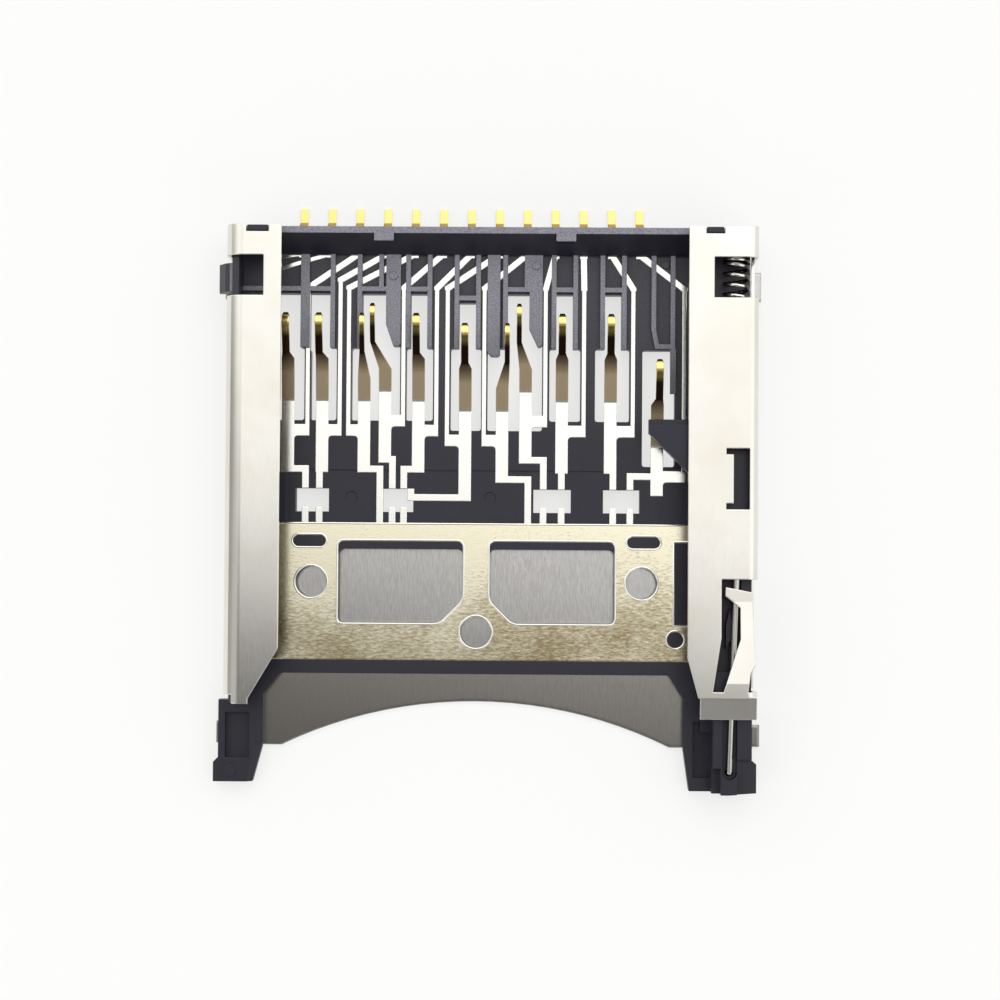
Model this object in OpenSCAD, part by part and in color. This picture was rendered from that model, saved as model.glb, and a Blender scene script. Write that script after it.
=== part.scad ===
// Push-push socket for a full-size memory card, for surface mounting on a circuit board.
// Millimetres. +Z is up from the board, +Y is the way the card goes in, +X is to the right
// of someone who faces the card slot from above. The origin is the middle of the footprint.

/* [Card] */
// Width of the card that the bay takes
card_w = 24; // [23:0.1:25]
// Clear height of the bay above its floor
bay_h = 2.2; // [2.1:0.05:2.6]
// Side play of the card in the bay
card_play = 0.2; // [0.1:0.05:0.4]
// Spacing of the card's contacts
contact_pitch = 2.5; // [2.4:0.05:2.6]
// Spacing of the two contacts at the left edge of the card
edge_pitch = 1.7; // [1.6:0.05:1.8]
// From the card's left edge to its last contact
edge_contact = 2.15; // [2.05:0.05:2.25]

/* [Shell] */
// Thickness of the folded steel sheet
sheet_t = 0.2; // [0.15:0.01:0.25]
// Outer radius of the folds
fold_r = 0.5; // [0.35:0.05:0.6]
// Outer radius of the broad fold along the left rail
left_fold_r = 0.9; // [0.6:0.05:1]
// Width of the left rail
left_rail_w = 2.85; // [2.5:0.05:3.2]
// Width of the right rail
right_rail_w = 3.55; // [3.2:0.05:3.8]
// Reach of the front left solder ear beyond the side wall
left_ear_reach = 0.65; // [0.5:0.05:0.7]
// Reach of the other solder ears beyond the side wall
right_ear_reach = 0.4; // [0.3:0.05:0.6]
// Length of a solder ear
ear_len = 1.5; // [1:0.1:1.8]
// Half of the width of the thumb notch in the bottom plate
thumb_half_w = 10; // [9:0.1:10.3]
// Depth of the thumb notch
thumb_depth = 2.3; // [1.5:0.1:2.5]

/* [Housing] */
// From the origin back to the rear face
back_y = 13.9; // [13.8:0.05:14.2]
// From the origin forward to the front edge of the floor
front_y = 8.85; // [8.7:0.05:9]
// From the origin forward to the end of the feet
foot_y = 14.75; // [14.6:0.05:15.2]
// Reach of the left foot's toe beyond the side wall
toe_reach = 0.7; // [0.7:0.05:0.9]
// Thickness of the floor with the lead frame in it
floor_t = 0.8; // [0.7:0.05:1]
// Thickness of the left side wall
side_wall_t = 0.4; // [0.35:0.05:0.5]
// Height of the comb ribs above the floor
rib_h = 0.25; // [0.15:0.05:0.28]
// Width of a comb rib
rib_w = 0.25; // [0.2:0.01:0.28]
// Height of the rear wall above the floor
back_wall_h = 1.9; // [1.4:0.1:2]
// Gap between the moulding and the sheet around it
fit = 0.05; // [0.03:0.01:0.08]

/* [Lead frame] */
// Thickness of the contact strip
lead_t = 0.15; // [0.12:0.01:0.2]
// Width of a lead
lead_w = 0.22; // [0.18:0.01:0.26]
// Spacing of the solder tails
tail_pitch = 1.45; // [1.4:0.01:1.48]
// Width of a solder tail
tail_w = 0.4; // [0.3:0.02:0.5]
// How far the tails stand out behind the rear wall
tail_reach = 1.3; // [0.9:0.05:1.5]
// Width of a contact beam at its root
beam_w = 0.65; // [0.5:0.01:0.68]
// Width of a contact tip
tip_w = 0.38; // [0.3:0.01:0.4]
// Free length of a contact beam past its bend
beam_len = 4.55; // [4.4:0.05:4.7]
// Height of a contact tip above the floor
tip_lift = 0.85; // [0.7:0.01:0.88]

/* [Eject mechanism] */
// Width of the channel beside the card
channel_w = 1.95; // [1.9:0.01:2.2]
// Travel of the slider from card out to fully pushed
travel = 6; // [5.4:0.1:6]
// Running gap round the slider
run = 0.06; // [0.04:0.01:0.1]
// Length of the slider's front block
block_len = 13.2; // [13:0.05:13.3]
// Height of the front block
block_h = 1.5; // [1.4:0.02:1.54]
// Outer diameter of the eject spring
spring_d = 1.44; // [1.3:0.02:1.5]
// Wire of the eject spring
spring_wire = 0.2; // [0.16:0.01:0.2]
// Turns of the eject spring
spring_turns = 18; // [14:1:18]
// Wire of the latch pin
pin_d = 0.3; // [0.24:0.01:0.32]
// Swing of the latch pin from one side of the heart to the other, degrees
pin_swing = 3.8; // [3.2:0.1:4]

/* [Hidden] */
$fn = 48;
eps = 0.01;
far = 40;

// Heights above the board
floor_z0 = sheet_t;
floor_z = floor_z0 + floor_t;
lead_z = floor_z - lead_t;
rail_z0 = floor_z + bay_h;
rail_z = rail_z0 + sheet_t;
rib_z = floor_z + rib_h;

// Widths, with the shell centred on the origin
shell_half = (2 * sheet_t + fit + side_wall_t + card_w + card_play + channel_w) / 2;
inner_half = shell_half - sheet_t;
body_half = inner_half - fit;
bay_x0 = -body_half + side_wall_t;
bay_x1 = bay_x0 + card_w + card_play;
card_x = (bay_x0 + bay_x1) / 2;
left_rail_x = -shell_half + left_rail_w;
right_rail_x = shell_half - right_rail_w;
toe_x = shell_half + toe_reach;
left_ear_x = shell_half + left_ear_reach;
right_ear_x = shell_half + right_ear_reach;

// Lengths along the slot
tail_y = back_y + tail_reach;
inner_back_y = back_y - 1.2;
tail_root = inner_back_y - 0.15;
bar_w = 0.7;
plate_y0 = -front_y + bar_w;
plate_y1 = -1.1;
window_y1 = back_y - 3.2;
rib_y0 = back_y - 6;
tip_y = back_y - 4.3;
root_y = tip_y - beam_len;
slot_y = root_y - 0.9;
band_y = root_y - 1.4;
band_w = 0.6;
strip_w = 0.35;
lead_r = 0.2;
slant_w = 0.32;
jog_len = 2;
strip_end = 0.65;
stub_end = -0.3;
punch_y0 = -0.55;
cross_strip_y = 0.2;

// Contact row, measured from the card's left edge, and the row of tails behind it
card_x0 = card_x - card_w / 2;
card_x1 = card_x + card_w / 2;
tail_mid = 9.48;
function contact_x(n) = n == 8 ? card_x0 + edge_contact
    : n == 9 ? contact_x(1) + contact_pitch
    : contact_x(8) + edge_pitch + (7 - n) * contact_pitch;
function tail_x(i) = contact_x(8) + tail_mid + (i - 6) * tail_pitch;

// Columns: contact, tail, lead, base, tip and strip offsets from the contact, set back, tip width
LEADS = [
    [1, 11, 1.15, 0, 0, 0.15, 0, tip_w],
    [2, 10, 1.12, 0, 0, 0, 0, tip_w],
    [3, 9, 1.64, 0.63, 0.29, 1.57, 0.5, 0.26],
    [4, 7, -0.91, 0.03, 0, -2.74, -0.5, tip_w],
    [5, 6, 1.03, 0.12, 0, -0.61, 0, tip_w],
    [6, 5, 1.82, 0.9, 0.25, 1.3, 0.5, 0.26],
    [7, 3, 1.05, 0.16, 0, 0.04, 0, tip_w],
    [8, 2, 1.09, 0.1, 0, 1.02, 0, tip_w],
    [9, 12, 1.28, -0.1, 0, -1.47, -2.3, tip_w]];
// The two ground contacts, which stay joined to the ground plate
GROUNDS = [
    [3, 8, -1.51, -0.57, -0.32, 0.78, -0.5, 0.26],
    [6, 4, -1, -0.18, -0.29, 0.66, 0, 0.26]];
function row_x(r, column) = contact_x(r[0]) + r[column];
function drop_y(r) = inner_back_y - (r[0] == 7 ? 1.3 : 1.7);
// Columns: contact, left and right edge of its window, and how far the window's rear end is set forward
WINDOWS = [[1, -0.8, 0.98, 0], [2, -0.65, 0.95, 0], [3, -1.34, 1.48, 0], [4, -0.74, 0.84, 0.45],
    [5, -0.53, 0.86, 0], [6, -0.85, 1.66, 0], [7, -0.45, 0.89, 0], [8, -0.43, 0.93, 0], [9, -0.87, 0.81, 0]];

// Plan outline of a strip of width w along a route
function unit(v) = v / norm(v);
function left_of(v) = [-v[1], v[0]];
function heading(p, i) = unit(p[i + 1] - p[i]);
function corner(n, m) = let (s = unit(n + m)) s / (s * n);
function side(p, i) = i == 0 ? left_of(heading(p, 0))
    : i == len(p) - 1 ? left_of(heading(p, i - 1))
    : corner(left_of(heading(p, i - 1)), left_of(heading(p, i)));
function lane(p, w) = concat(
    [for (i = [0:len(p) - 1]) p[i] + side(p, i) * w / 2],
    [for (i = [len(p) - 1:-1:0]) p[i] - side(p, i) * w / 2]);

// An outline with its corners rounded off over a length r
function rounded(p, r) = [for (i = [0:len(p) - 1])
    let (n = len(p), q = p[i], a = unit(p[(i + n - 1) % n] - q), b = unit(p[(i + 1) % n] - q))
    each [for (t = [0:0.25:1]) q + r * (a * (1 - t) * (1 - t) + b * t * t)]];
// The metal in an inner corner at p, towards the quadrant d
function fillet(p, d, r) = concat([p - eps * d],
    [for (t = [0:0.25:1]) p + [d[0] * r * (1 - t) * (1 - t), d[1] * r * t * t]]);

// A box from its low corner to its high corner
module block(lo, hi) {
    translate(lo) cube(hi - lo);
}

// A plan outline raised from z0 to z1
module raise(z0, z1) {
    translate([0, 0, z0]) linear_extrude(z1 - z0) children();
}

// A side outline, drawn in Y and Z, carried across X from x0 to x1
module across(x0, x1) {
    translate([x0, 0, 0]) rotate([90, 0, 90]) linear_extrude(x1 - x0) children();
}

// What a round corner at the origin takes off a square one
module corner_cut(r) difference() {
    translate([-eps, -eps]) square(r + eps);
    translate([r, r]) circle(r);
}

// Section of a folded tube of width w and height h, its upper left fold with a radius of its own
module fold_section(w, h, r, left_r) difference() {
    translate([-w / 2, 0]) square([w, h]);
    for (c = [[-1, 0, r], [1, 0, r], [1, 1, r], [-1, 1, left_r]])
        translate([c[0] * w / 2, c[1] * h]) mirror([max(c[0], 0), 0]) mirror([0, c[1]]) corner_cut(c[2]);
}

// Contacts

// Solder tail that steps down from the lead frame to the board
module tail(i) {
    z = lead_z + lead_t / 2;
    path = [[tail_root, z], [back_y + 0.2, z], [back_y + 0.55, lead_t / 2], [tail_y, lead_t / 2]];
    across(tail_x(i) - tail_w / 2, tail_x(i) + tail_w / 2) polygon(lane(path, lead_t));
}

// Flat part of a lead, flush with the floor. From its tail it slants to its own lane, runs forward,
// crosses to the foot of its beam, and ends in the strip that held it while it was stamped.
module lead_plan(r, y_end) {
    y = band_y + r[6];
    jog = r[0] == 4 ? cross_strip_y : r[0] == 9 ? y : y - jog_len;
    lane_x = row_x(r, 2);
    x = row_x(r, 3);
    strip_x = row_x(r, 5);
    tail_end = [tail_x(r[1]), inner_back_y + 0.1];
    polygon(lane([tail_end, tail_end - [0, 0.05], [lane_x, drop_y(r)], [lane_x, drop_y(r) - 0.1]], slant_w));
    polygon(lane([[lane_x, drop_y(r)], [lane_x, y]], lead_w));
    translate([min(x, lane_x) - lead_w / 2, y - band_w / 2]) square([abs(x - lane_x) + lead_w, band_w]);
    translate([x - beam_w / 2, jog - strip_w / 2]) square([beam_w, root_y + r[6] - jog + strip_w / 2 + eps]);
    s = sign(lane_x - x);
    polygon(fillet([x + s * beam_w / 2, y - band_w / 2], [s, -1], lead_r));
    polygon(lane(abs(strip_x - x) < beam_w / 2 ? [[strip_x, jog], [strip_x, y_end]]
        : [[x, jog], [strip_x, jog], [strip_x, y_end]], strip_w));
    if (r[0] == 9) translate([x - beam_w / 2, y - 1]) square([beam_w, 1]);
}

// Sprung beam: bent up a little over its broad part, steeply over its narrow part, and rolled over at the tip
tip_r = 0.5;
knee = 0.55;
roll_start = -18;
roll_end = 58;
roll_step = 9.5;
module beam(r) {
    y = root_y + r[6];
    z = lead_z + lead_t / 2;
    tip_end = y + beam_len;
    roll = [tip_end - tip_r * sin(roll_end), z + tip_lift - tip_r];
    bend = concat([[y - eps, z], [y + 0.1, z], [y + beam_len * knee, z + tip_lift * 0.4]],
        [for (a = [roll_start:roll_step:roll_end]) roll + tip_r * [sin(a), cos(a)]]);
    xb = row_x(r, 3);
    xt = row_x(r, 4);
    w = beam_w / 2;
    t = r[7] / 2;
    bent_aside = r[7] < tip_w;
    y1 = y + beam_len * (bent_aside ? 0.28 : knee - 0.05);
    y2 = y + beam_len * (bent_aside ? 0.58 : knee + 0.02);
    round_off = t * 0.6;
    intersection() {
        across(min(xb, xt) - 1, max(xb, xt) + 1) polygon(lane(bend, lead_t));
        raise(0, far) polygon([[xb - w, y - 1], [xb + w, y - 1], [xb + w, y1], [xt + t, y2],
            [xt + t, tip_end - round_off], [xt + t - round_off, tip_end + lead_t],
            [xt - t + round_off, tip_end + lead_t], [xt - t, tip_end - round_off], [xt - t, y2],
            [xb - w, y1]]);
    }
}

module lead(r, y_end) {
    raise(lead_z, floor_z) lead_plan(r, y_end);
    tail(r[1]);
    beam(r);
}

// Plate with the card's two ground contacts in one stamping
plate_x0 = card_x0 + 0.8;
plate_x1 = card_x1 - 0.7;
plate_mid = (plate_y0 + plate_y1) / 2;
window_x0 = 0.7;
window_x1 = 7.1;
window_y0 = plate_y0 + 1.9;
window_top = plate_y1 - 0.95;
window_cut = 1.2;
window_r = 0.3;
pilot_d = 1.6;

// Window outline on one side of the plate, its rear edge moved in by ledge
module plate_window(s, ledge) {
    polygon(rounded([for (p = [[window_x0 + window_cut, window_y0], [window_x1, window_y0],
        [window_x1, window_top - ledge], [window_x0, window_top - ledge],
        [window_x0, window_y0 + window_cut]]) [card_x + s * p[0], p[1]]], window_r));
}

// Round holes that the stamping die located on
module pilot_holes() {
    for (p = [[-8.5, plate_mid + 0.47], [8.5, plate_mid + 0.47], [0, plate_y0 + 1.45]])
        translate([card_x + p[0], p[1]]) circle(d = pilot_d);
}

module plate_plan() {
    difference() {
        translate([plate_x0, plate_y0]) square([plate_x1 - plate_x0, plate_y1 - plate_y0]);
        for (s = [-1, 1]) plate_window(s, 0);
        pilot_holes();
        for (s = [-1, 1]) translate([card_x + s * 8.6, window_top]) {
            square([1.1, 0.58], center = true);
            for (e = [-0.55, 0.55]) translate([e, 0]) circle(d = 0.58);
        }
        translate([card_x + 10.25, plate_y0 + 1.13]) circle(0.41);
        translate([card_x + 10.2, window_y0]) square([far, window_top - window_y0]);
    }
    for (r = LEADS) if (r[0] != 4)
        translate([row_x(r, 5) - strip_w / 2, plate_y1 - eps]) square([strip_w, stub_end - plate_y1 + eps]);
}

module ground_frame() color("#b9a98a") {
    raise(lead_z, floor_z) plate_plan();
    for (r = GROUNDS) lead(r, plate_y1 - eps);
}

module contact(n) color("#c8a75e") for (r = LEADS) if (r[0] == n) lead(r, strip_end);

// Write-protect switch under the left rail: a sprung blade and its stop
switch_x = bay_x0 - 0.12;
blade_t = 0.12;
blade_foot = 0.5;
stop_foot = 0.3;
blade_z0 = floor_z + 0.3;
blade_z1 = floor_z + 1.2;
switch_y0 = 0.2;
switch_y1 = 7.4;
spring_lane = bay_x0 + 1.25;
stop_lane = bay_x0 + 1.6;
SPRING_ROUTE = [[tail_x(0), inner_back_y + 0.1], [tail_x(0), inner_back_y + 0.05],
    [spring_lane, inner_back_y - 0.2], [spring_lane, switch_y1], [switch_x, switch_y1]];
STOP_ROUTE = [[tail_x(1), inner_back_y + 0.1], [tail_x(1), inner_back_y + 0.05],
    [stop_lane, inner_back_y - 0.8], [stop_lane, switch_y0], [switch_x, switch_y0]];

BLADE_ROUTE = [[switch_x, switch_y1 + blade_foot / 2], [switch_x, switch_y1 - 1.8],
    [switch_x + 0.5, switch_y0 + 2.4], [switch_x + 0.45, switch_y0 + 1.8], [switch_x, switch_y0 + 0.4]];

// Flat lead of the switch with the foot of its upright
module switch_plan(route, y, foot) {
    polygon(lane(route, lead_w));
    translate([switch_x - blade_t / 2, y - foot / 2]) square([blade_t, foot]);
}

module switch_upright(y, foot, top) {
    block([switch_x - blade_t / 2, y - foot / 2, lead_z], [switch_x + blade_t / 2, y + foot / 2, top]);
}

module protect_spring() color("#c8a75e") {
    raise(lead_z, floor_z) switch_plan(SPRING_ROUTE, switch_y1, blade_foot);
    tail(0);
    switch_upright(switch_y1, blade_foot, blade_z1);
    raise(blade_z0, blade_z1) polygon(lane(BLADE_ROUTE, blade_t));
}

module protect_stop() color("#c8a75e") {
    raise(lead_z, floor_z) switch_plan(STOP_ROUTE, switch_y0, stop_foot);
    tail(1);
    switch_upright(switch_y0, stop_foot, blade_z1 - 0.2);
}

// Housing

left_foot_x = left_rail_x - 1;
right_foot_x = right_rail_x - 0.02;
high_foot_x = bay_x1 - 0.05;
left_foot_y0 = -10.25;
right_foot_y0 = -10.5;
left_foot_end = -foot_y + 0.3;
flare_y = -13.2;
foot_side = toe_x - 0.25;

// Outline of the floor and the two feet in front of it
module floor_plan() {
    polygon([[-body_half, back_y], [body_half, back_y], [body_half, flare_y + 0.2], [shell_half, flare_y],
        [shell_half, -foot_y + 0.1], [right_foot_x + 2.2, -foot_y], [right_foot_x + 0.3, -foot_y],
        [right_foot_x, -front_y - 3.8], [right_foot_x, -front_y - 1.2], [right_foot_x - 0.75, -front_y],
        [left_foot_x + 0.85, -front_y], [left_foot_x, -front_y - 1.1], [left_foot_x, -front_y - 3.55],
        [left_foot_x - 0.55, left_foot_end], [-toe_x, left_foot_end], [-toe_x, flare_y - 0.25],
        [-foot_side, flare_y], [-foot_side, left_foot_y0], [-body_half, left_foot_y0]]);
}

// Through windows in the floor
module floor_windows() {
    for (s = [-1, 1]) plate_window(s, 0.4);
    pilot_holes();
    difference() {
        for (w = WINDOWS) beam_window(w);
        for (f = BARS) bar(f);
    }
    for (pair = [[8, 7], [6, 5], [3, 2], [1, 9]]) {
        xs = [for (r = LEADS) if (r[0] == pair[0] || r[0] == pair[1]) row_x(r, 5)];
        translate([min(xs) - 0.5, punch_y0]) square([max(xs) - min(xs) + 1, strip_end - punch_y0]);
    }
}

// Space for the beams of a contact to be pressed down, narrower between the ribs
module beam_window(w) {
    n = w[0];
    x = contact_x(n);
    y = slot_y + min([for (all = [LEADS, GROUNDS], r = all) if (r[0] == n) r[6]]);
    reach = n == 9 ? rib_y0 - 0.05 : rib_y0;
    polygon(rounded([[x + w[1], y], [x + w[2], y], [x + w[2], reach], [x + w[1], reach]], slot_r));
    edges = n == 8 ? [x + w[1], x + w[2] - 0.2] : [rib_edges(n)[0], has_bar(n) ? x + w[2] : rib_edges(n)[1]];
    if (n != 9) translate([edges[0], rib_y0 - slot_r])
        square([edges[1] - edges[0], window_y1 - w[3] - rib_y0 + slot_r]);
}

// Inner edges of the two ribs that stand beside a contact. Where it has two beams, a bar takes the place
// of the right rib.
slot_r = 0.15;
function has_bar(n) = n == 3 || n == 6;
function rib_edges(n) = [contact_x(n) - (n == 7 ? 0.52 : n == 9 ? 0.18 : 0.31), contact_x(n) + 0.55];

// Comb ribs between the contacts, with a cross wall behind each pair
module comb() {
    for (n = [1:7]) {
        e = rib_edges(n);
        wide = n == 7 ? 0.46 : rib_w;
        translate([e[0] - wide, rib_y0]) square([wide, inner_back_y - rib_y0 + eps]);
        right_y = has_bar(n) ? window_y1 + 0.1 : rib_y0;
        translate([e[1], right_y]) square([rib_w, inner_back_y - right_y + eps]);
        set_forward = [for (w = WINDOWS) if (w[0] == n) w[3]][0];
        wall_x1 = has_bar(n) ? contact_x(n) + 1 : e[1] + eps;
        translate([e[0] - eps, window_y1 - set_forward + 0.1]) square([wall_x1 - e[0] + eps, rib_w]);
    }
    translate([bay_x0 - eps, window_y1 + 0.1]) square([rib_edges(7)[0] - bay_x0, rib_w]);
    end_pocket();
    for (f = BARS) bar(f);
}

// Frame round the last contact's pocket, with a slant at its lower left corner and a leg beside the contact
module end_pocket() {
    e = rib_edges(9);
    top = inner_back_y + eps;
    difference() {
        polygon([[e[0] - rib_w, top], [e[0] - rib_w, rib_y0 + 1], [e[0] - 0.05, rib_y0],
            [e[1] + rib_w, rib_y0], [e[1] + rib_w, top]]);
        polygon([[e[0], top + 1], [e[0], rib_y0 + 1], [e[0] + 0.15, rib_y0 + rib_w], [e[1], rib_y0 + rib_w],
            [e[1], top + 1]]);
    }
    translate([e[1], rib_y0 - 2.3]) square([rib_w + 0.05, 2.3 + eps]);
}

// Broader bars over the leads. Columns: contact, left and right edge, end, and the slant at the left corner
BARS = [
    [6, 0.92, 1.68, 0.1, [0.38, 1.1]],
    [3, -1.36, -0.7, -0.4, [0.2, 0.25]],
    [3, 0.8, 1.48, 0.1, [0.45, 0.95]]];
module bar(f) {
    x0 = contact_x(f[0]) + f[1];
    x1 = contact_x(f[0]) + f[2];
    y = rib_y0 + f[3];
    polygon([[x0, inner_back_y], [x0, y + f[4][1]], [x0 + f[4][0], y], [x1 - 0.1, y], [x1, y + 0.1],
        [x1, inner_back_y]]);
}

// Round bosses on the bars and in the end pocket
module bosses() {
    for (b = [[contact_x(6) + 1.3, 1.1, rib_z], [contact_x(3) + 1.15, 0.55, rib_z],
        [contact_x(9) + 0.3, 0.45, floor_z]])
        translate([b[0], inner_back_y - b[1], b[2] - eps]) cylinder(r = 0.2, h = 0.1);
}

// Shallow step across the floor in front of the contacts' feet, with round marks of the ejector pins
step_y = 1.6;
step_z = floor_z - 0.05;
module floor_step() {
    block([contact_x(8) + 0.05, plate_y1 - 0.3, step_z], [contact_x(1) + 0.3, step_y, far]);
    for (x = [contact_x(7) + 1.7, contact_x(4) + 1.34])
        translate([x, cross_strip_y, step_z - 0.06]) cylinder(r = 0.3, h = 1);
}

module back_wall() {
    top = floor_z + back_wall_h;
    across(-body_half, body_half) polygon([[inner_back_y, floor_z - eps], [back_y, floor_z - eps],
        [back_y, top], [back_y - 0.33, top], [inner_back_y, rib_z]]);
    for (x = [contact_x(6) + 0.4, contact_x(2) - 0.35])
        block([x, back_y - 0.72, floor_z + 1], [x + 1, back_y - 0.3, top + 0.05]);
    for (h = HOOKS) block([h[0] + 0.06, back_y - 0.28, top - eps], [h[1] - 0.06, back_y, rail_z - 0.06]);
}

// Left foot: a low step with a shallow tray and a chamfered inner edge
tray_depth = 0.4;
foot_turn = 15;
module left_tray() {
    block([-foot_side + 0.35, flare_y, floor_z - tray_depth], [bay_x0 + 0.5, left_foot_y0 - 0.65, far]);
    translate([left_foot_x - 0.32, -front_y - 3.55, floor_z]) rotate([0, 0, -foot_turn]) rotate([0, 40, 0])
        translate([0, -3, 0]) cube([2, 3, 2]);
}

// Lug of the left wall that snaps into the shell's window
lug_reach = 0.55;
lug_h = 1.3;
module snap_lug() {
    y1 = window_hi - 0.3;
    translate([0, y1, floor_z]) rotate([90, 0, 0]) linear_extrude(y1 - window_lo - 0.3)
        polygon([[-body_half + eps, 0], [-shell_half - lug_reach, 0], [-shell_half - lug_reach, 0.4],
            [-shell_half, lug_h], [-body_half + eps, lug_h]]);
}

// Right foot: a low step beside the card and a tall block that carries the latch pin
pivot = [body_half - 1.12, -13.6];
pin_z = floor_z + block_h + 0.05 + pin_d / 2 + 0.05;
pin_lane = 0.76;
lane_z = pin_z - pin_d / 2 - 0.1;
high_foot_z = rail_z0 - 0.3;
module right_foot() {
    difference() {
        raise(floor_z - eps, high_foot_z) intersection() {
            floor_plan();
            translate([high_foot_x, -far]) square([far, far + right_foot_y0]);
        }
        // Lower front ends on both sides of the pin
        block([high_foot_x - 1, -far, high_foot_z - 0.9],
            [pivot[0] - pin_lane / 2 - 0.05, -foot_y + 1.35, far]);
        block([pivot[0] + pin_lane / 2, -far, high_foot_z - 0.25], [far, -foot_y + 1.8, far]);
        raise(lane_z, far) {
            translate([pivot[0] - pin_lane / 2, pivot[1]]) square([pin_lane, far]);
            translate(pivot) circle(d = pin_lane);
        }
        translate([pivot[0], pivot[1], lane_z - 0.9]) cylinder(d = pin_d + 0.1, h = 2);
    }
}

module right_tray() {
    x0 = right_foot_x + 0.5;
    x1 = high_foot_x - 0.02;
    y0 = -foot_y + 0.7;
    y1 = right_foot_y0 - 1.25;
    y2 = right_foot_y0 - 0.7;
    raise(floor_z - tray_depth, far)
        polygon([[x0, y0], [x1, y0], [x1, y1], [x0 + 0.35, y1], [x0 + 0.35, y2], [x0, y2]]);
}

module housing() color("#3b3a43") {
    difference() {
        union() {
            difference() {
                raise(floor_z0, floor_z) floor_plan();
                raise(-eps, far) floor_windows();
                left_tray();
                right_tray();
                floor_step();
            }
            raise(floor_z - eps, rib_z) comb();
            back_wall();
            right_foot();
            block([-body_half, left_foot_y0, floor_z - eps], [bay_x0, back_y, rail_z0 - fit]);
            snap_lug();
            bosses();
            translate([-foot_side + 0.63, left_foot_end + 0.55, floor_z - 0.1]) cylinder(r = 0.3, h = 0.18);
        }
        raise(lead_z, floor_z) {
            plate_plan();
            for (r = LEADS) lead_plan(r, strip_end);
            for (r = GROUNDS) lead_plan(r, plate_y1 - eps);
            for (i = [0:12]) translate([tail_x(i) - tail_w / 2, tail_root]) square([tail_w, far]);
        }
        raise(lead_z, floor_z) {
            switch_plan(SPRING_ROUTE, switch_y1, blade_foot);
            switch_plan(STOP_ROUTE, switch_y0, stop_foot);
        }
        block([-body_half - eps, switch_y0 - 0.4, floor_z], [bay_x0 + eps, switch_y1 + 0.6, far]);
        fold_chamfers();
    }
}

// Edges taken off where the housing lies in the shell's folds. Columns: side, height, size, front end
module fold_chamfers() {
    c = fold_r - sheet_t;
    top = rail_z0 - fit;
    for (e = [[-1, floor_z0, c, left_foot_y0], [1, floor_z0, c, right_end - fit],
        [1, top, -c, right_end - fit], [-1, top, sheet_t - left_fold_r, left_foot_y0]]) {
        x0 = e[0] * (body_half - abs(e[2]));
        x1 = e[0] * (body_half + abs(e[2]));
        translate([0, far, 0]) rotate([90, 0, 0]) linear_extrude(far - e[3])
            polygon([[x0, e[1]], [x0, e[1] - e[2]], [x1, e[1] - e[2]], [x1, e[1] + 2 * e[2]]]);
    }
}

// Shell: one folded sheet

plate_end = -12.6;
plate_rear = plate_y1 - 0.9;
left_end = -10.3;
right_end = -10.9;
shell_y1 = back_y + 0.05;
ear_y = -11.4;
HOOKS = [[left_rail_x - 1.8, left_rail_x - 0.65], [right_rail_x + 0.85, right_rail_x + 1.8]];
window_lo = back_y - 3.57;
window_hi = back_y - 1.52;
tongue_y0 = -9.4;
tongue_y1 = -4.2;
guide_y0 = -0.35;
guide_y1 = 2.72;
guide_x = shell_half - 1.27;
thumb_r = (thumb_half_w * thumb_half_w + thumb_depth * thumb_depth) / (2 * thumb_depth);

// Opening between the rails, with their front ends
module top_opening() {
    polygon([[left_rail_x, far], [left_rail_x, -7.5], [left_rail_x - 1.5, left_end + 0.27],
        [left_rail_x - 1.5, left_end], [-shell_half + 0.55, left_end], [-shell_half - eps, left_end + 0.45],
        [-shell_half - eps, -far], [shell_half + eps, -far], [shell_half + eps, right_end],
        [right_rail_x + 1.35, right_end], [right_rail_x + 1.35, right_end + 0.35],
        [right_rail_x + 0.65, right_end + 0.35], [right_rail_x + 0.65, right_end + 0.75],
        [right_rail_x, -7.8], [right_rail_x, far]]);
}

// Cut-outs in the rails that run on down the side walls
module rail_windows() {
    translate([-far, window_lo]) square([far + left_rail_x - 0.9, window_hi - window_lo]);
    translate([right_rail_x + 1.27, window_lo]) square([far, window_hi - window_lo]);
    polygon([[right_rail_x + 1.7, -3.87], [far, -3.87], [far, tongue_y0 - 0.13],
        [right_rail_x + 1.29, tongue_y0 - 0.13], [right_rail_x + 1.7, -6.85]]);
}

// Openings that stay within the rails
module rail_holes() {
    translate([guide_x, guide_y0]) square([0.81, guide_y1 - guide_y0]);
    for (y = [guide_y0, guide_y1 - 0.3]) translate([guide_x - 0.37, y]) square([0.5, 0.3]);
    for (h = HOOKS) translate([h[0], back_y - 0.34]) square([h[1] - h[0], 2]);
}

// Leaf that keeps the latch pin down in its track
module tongue() {
    x = shell_half;
    z = rail_z0 + sheet_t / 2;
    end_z = pin_z + pin_d / 2 + 0.05 + sheet_t / 2;
    intersection() {
        across(0, far) polygon(lane([[tongue_y0 - 0.4, z], [tongue_y0 + 0.3, z], [tongue_y1 - 0.8, end_z],
            [tongue_y1 + 0.5, end_z]], sheet_t));
        raise(0, far) polygon([[x - 1.74, tongue_y0 - 0.2], [x - 0.87, -6.9], [x - 0.88, -5.3],
            [x - 1.64, -4.7], [x - 1.62, -4.26], [x - 0.26, -4.52], [x - 0.25, -5.66], [x - 0.13, -8.2],
            [x - 0.37, -8.6], [x - 0.5, tongue_y0 - 0.2]]);
    }
}

// Solder ear bent out from the foot of a side wall
module ear(s, y0) {
    mirror([s < 0 ? 1 : 0, 0, 0]) {
        block([shell_half - sheet_t, y0, 0], [shell_half, y0 + ear_len, fold_r + 0.2]);
        block([shell_half - sheet_t, y0, 0], [right_ear_x, y0 + ear_len, sheet_t]);
    }
}

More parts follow.
